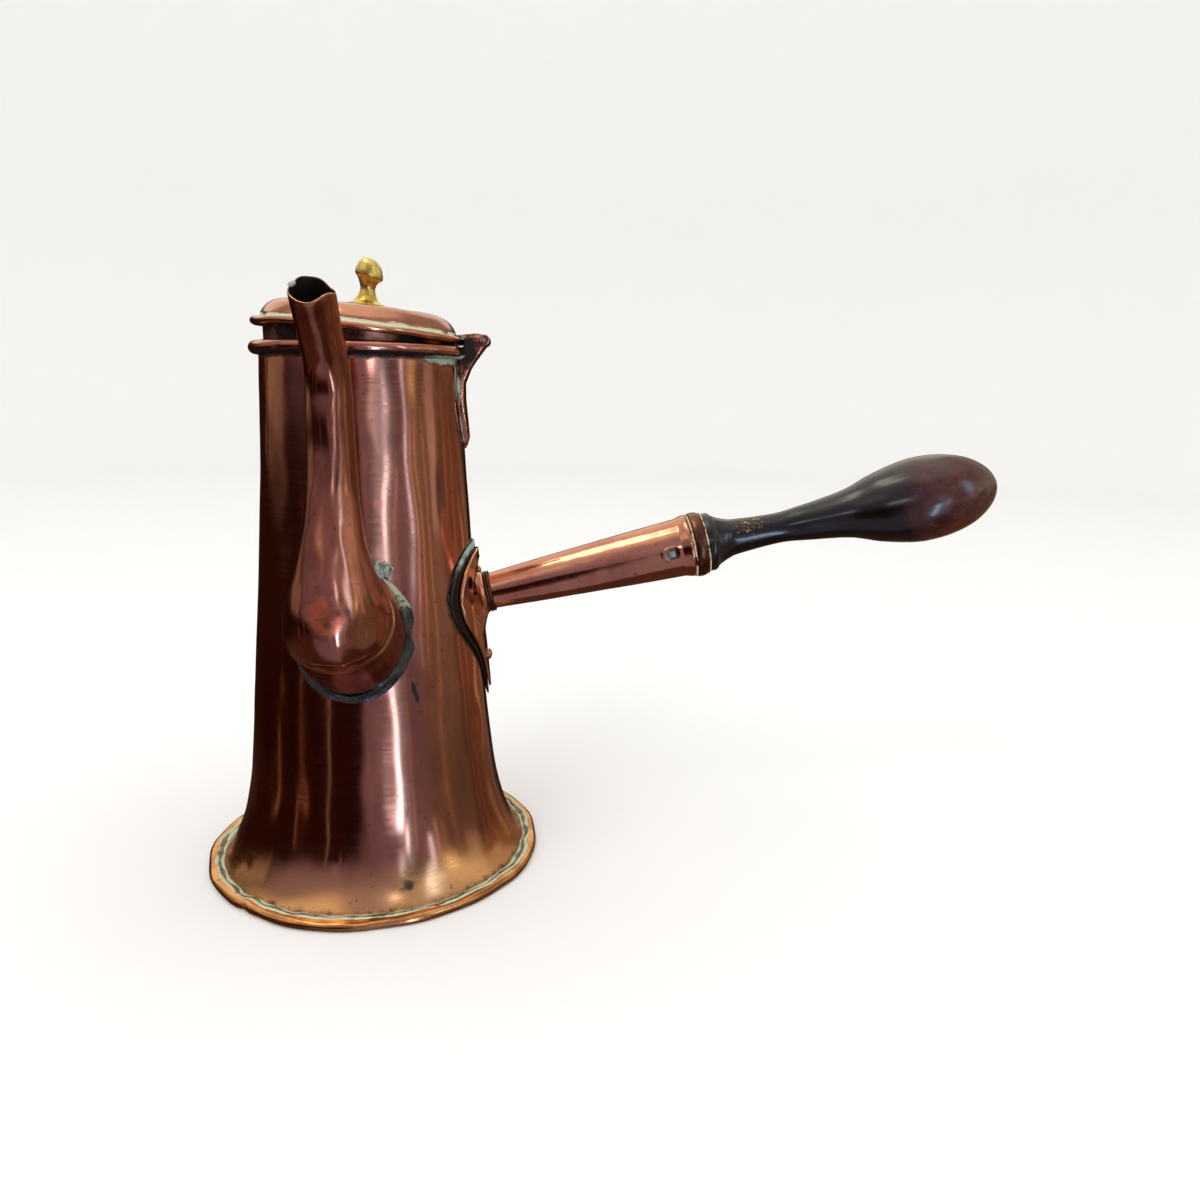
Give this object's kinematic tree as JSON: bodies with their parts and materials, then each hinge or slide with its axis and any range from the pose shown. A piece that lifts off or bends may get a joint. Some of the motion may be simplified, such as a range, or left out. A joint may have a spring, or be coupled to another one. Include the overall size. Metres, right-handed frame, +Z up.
{
  "type": "side-handled coffee pot",
  "caption": "Tall flared pot with a folded foot, swan-neck spout, turned side handle in a riveted socket, and a domed lid on a rat-tail hinge.",
  "frame": {"origin": "centre of the foot's underside, on the surface that the pot stands on", "axes": "+Z up along the body, +X out along the handle and over the lid's hinge, -Y towards the spout"},
  "size_m": [0.366, 0.1701, 0.2679],
  "materials": {
    "copper": "old polished copper sheet, planished and burnished",
    "spout_copper": "darker seamed copper with dents and wear",
    "dark_copper": "brown patinated copper",
    "finial_brass": "cast yellow brass, soft polish",
    "solder": "dull grey soft solder with verdigris",
    "wire": "drawn iron wire, tarnished",
    "grip_wood": "turned hardwood, ebonised and varnished, worn red-brown"
  },
  "bodies": {
    "pot": {"body_shell": "copper", "rim_wire": "wire", "base_plate": "copper", "foot_seam_solder": "solder", "spout_root": "spout_copper", "spout_tube": "spout_copper", "spout_solder": "solder", "handle_back_plate": "dark_copper", "handle_plate": "copper", "plate_rivet_tail": "copper", "plate_rivet_side": "copper", "hinge_bracket": "copper", "hinge_pin": "wire", "socket_root_ring": "dark_copper", "handle_socket": "copper", "handle_ferrule": "dark_copper", "grip_cross_pin": "wire", "wooden_grip": "grip_wood"},
    "lid": {"lid_shell": "copper", "lid_collar": "dark_copper", "lid_strap": "copper", "finial": "finial_brass", "finial_washer": "finial_brass"}
  },
  "joints": [
    {"name": "lid_hinge", "type": "hinge", "parent": "pot", "child": "lid", "pos_m": [0.0528, 0, 0.2354], "axis": [0, 1, 0], "range_deg": [-4, 106]}
  ]
}
